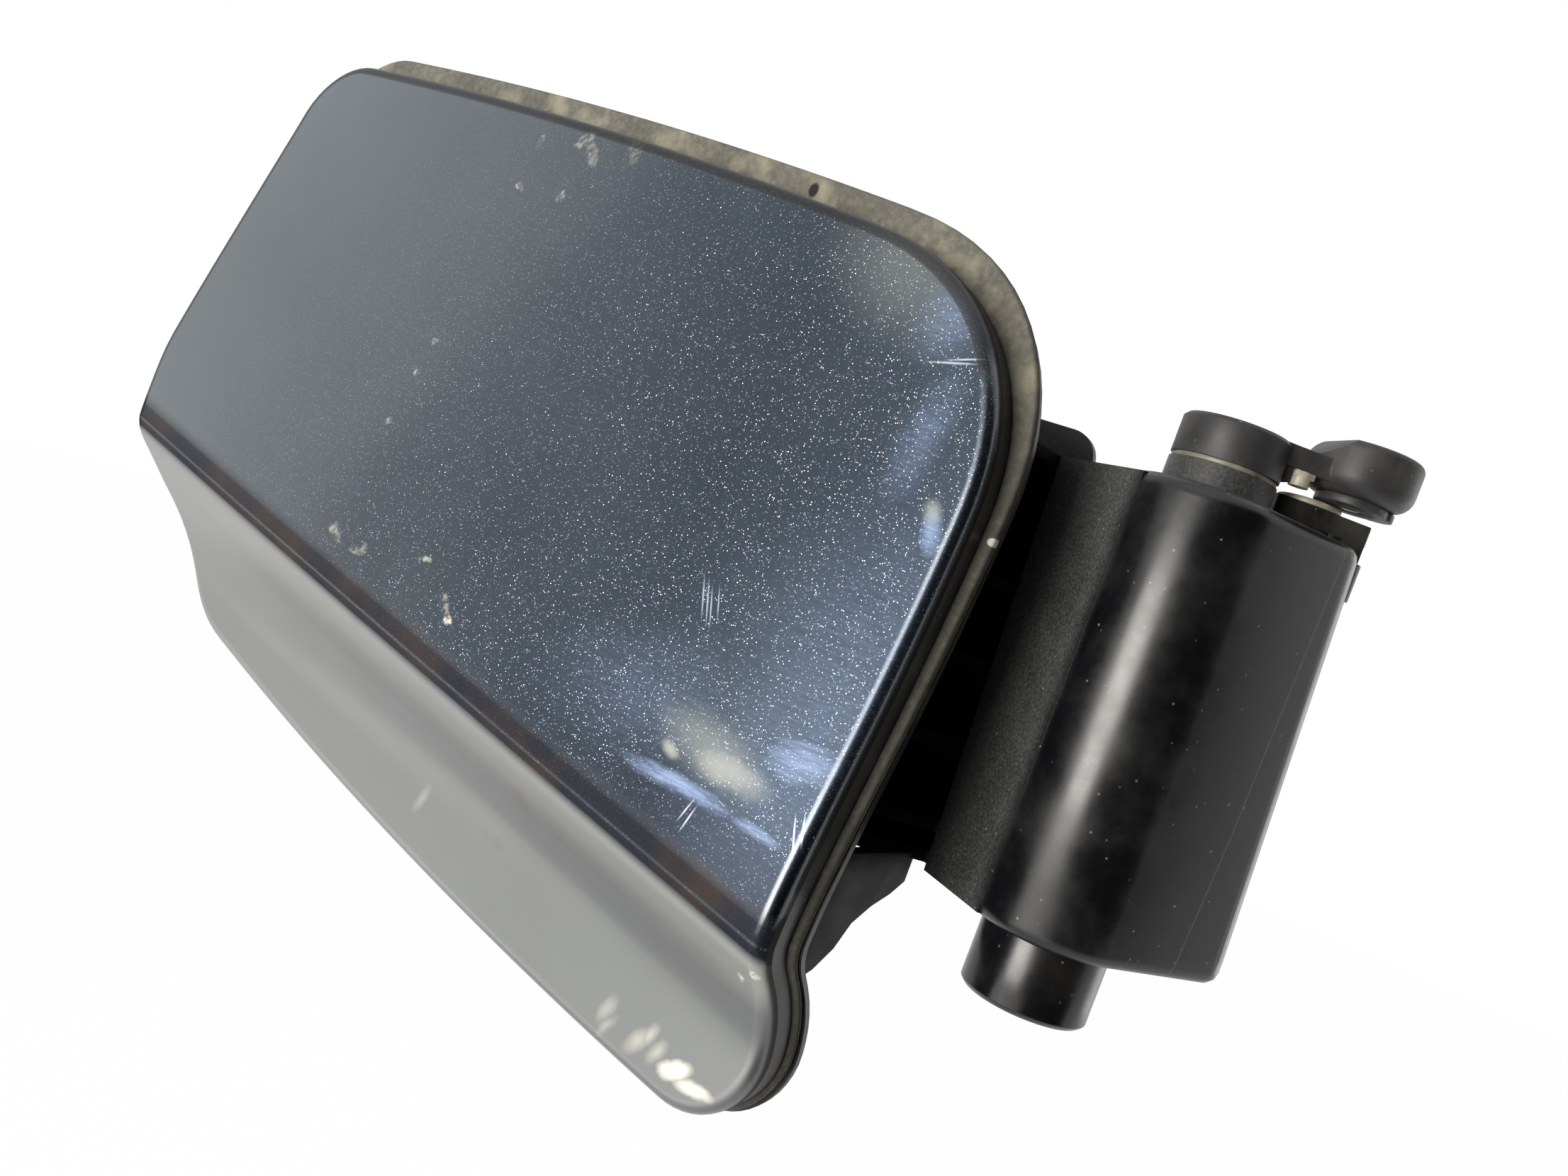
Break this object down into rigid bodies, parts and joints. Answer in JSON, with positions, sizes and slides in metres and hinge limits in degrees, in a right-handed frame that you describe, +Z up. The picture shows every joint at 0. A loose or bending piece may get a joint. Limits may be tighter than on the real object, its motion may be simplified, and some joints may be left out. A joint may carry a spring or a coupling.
{
  "type": "fuel filler flap",
  "caption": "Painted car fuel filler flap with a black plastic gooseneck hinge arm, its spindle, hinge link and spring catch.",
  "frame": {"origin": "on the hinge axis, half way along the stretch of lower trunnion that shows under the hinge arm", "axes": "+Z up the hinge axis; -Y the way the painted face looks, out of the car; -X from the hinge to the free edge of the flap; the flap is shut at rest and opens by turning round +Z"},
  "size_m": [0.2411, 0.0726, 0.1583],
  "materials": {
    "car_paint": "gloss",
    "carrier_plastic": "matt",
    "lip_rubber": "dusty",
    "zinc_steel": "zinc plated",
    "arm_plastic": "semi gloss, dusty",
    "spindle_plastic": "gloss",
    "ivory_plastic": "natural",
    "link_plastic": "matt",
    "spring_steel": "oiled",
    "buffer_rubber": "matt"
  },
  "bodies": {
    "hinge_mount": {"hinge_spindle": "spindle_plastic", "trunnion_plug": "carrier_plastic", "sliding_washer": "ivory_plastic", "hinge_link": "link_plastic", "link_screw": "zinc_steel", "catch_plate": "link_plastic", "catch_rivet": "zinc_steel", "link_hook": "ivory_plastic"},
    "flap": {"outer_skin": "car_paint", "inner_carrier": "carrier_plastic", "sealing_lip": "lip_rubber", "skin_clips": "zinc_steel", "hinge_arm": "arm_plastic", "arm_screws": "zinc_steel", "spring_carrier": "carrier_plastic", "carrier_screw": "zinc_steel", "slide_plate": "ivory_plastic", "catch_pin": "zinc_steel", "upper_bush": "ivory_plastic", "lower_bush": "ivory_plastic", "torsion_spring": "spring_steel", "latch_striker": "carrier_plastic", "striker_screws": "zinc_steel", "rest_buffers": "buffer_rubber"},
    "lever": {"catch_lever": "link_plastic"}
  },
  "joints": [
    {"name": "flap_hinge", "type": "hinge", "parent": "hinge_mount", "child": "flap", "pos_m": [0, 0, 0.04], "axis": [0, 0, 1], "range_deg": [0, 100]},
    {"name": "catch_pivot", "type": "hinge", "parent": "flap", "child": "lever", "pos_m": [0.01048, 0.01631, 0.045], "axis": [0, 0, 1], "range_deg": [0, 12], "stiffness_Nm_per_rad": 0.02}
  ]
}
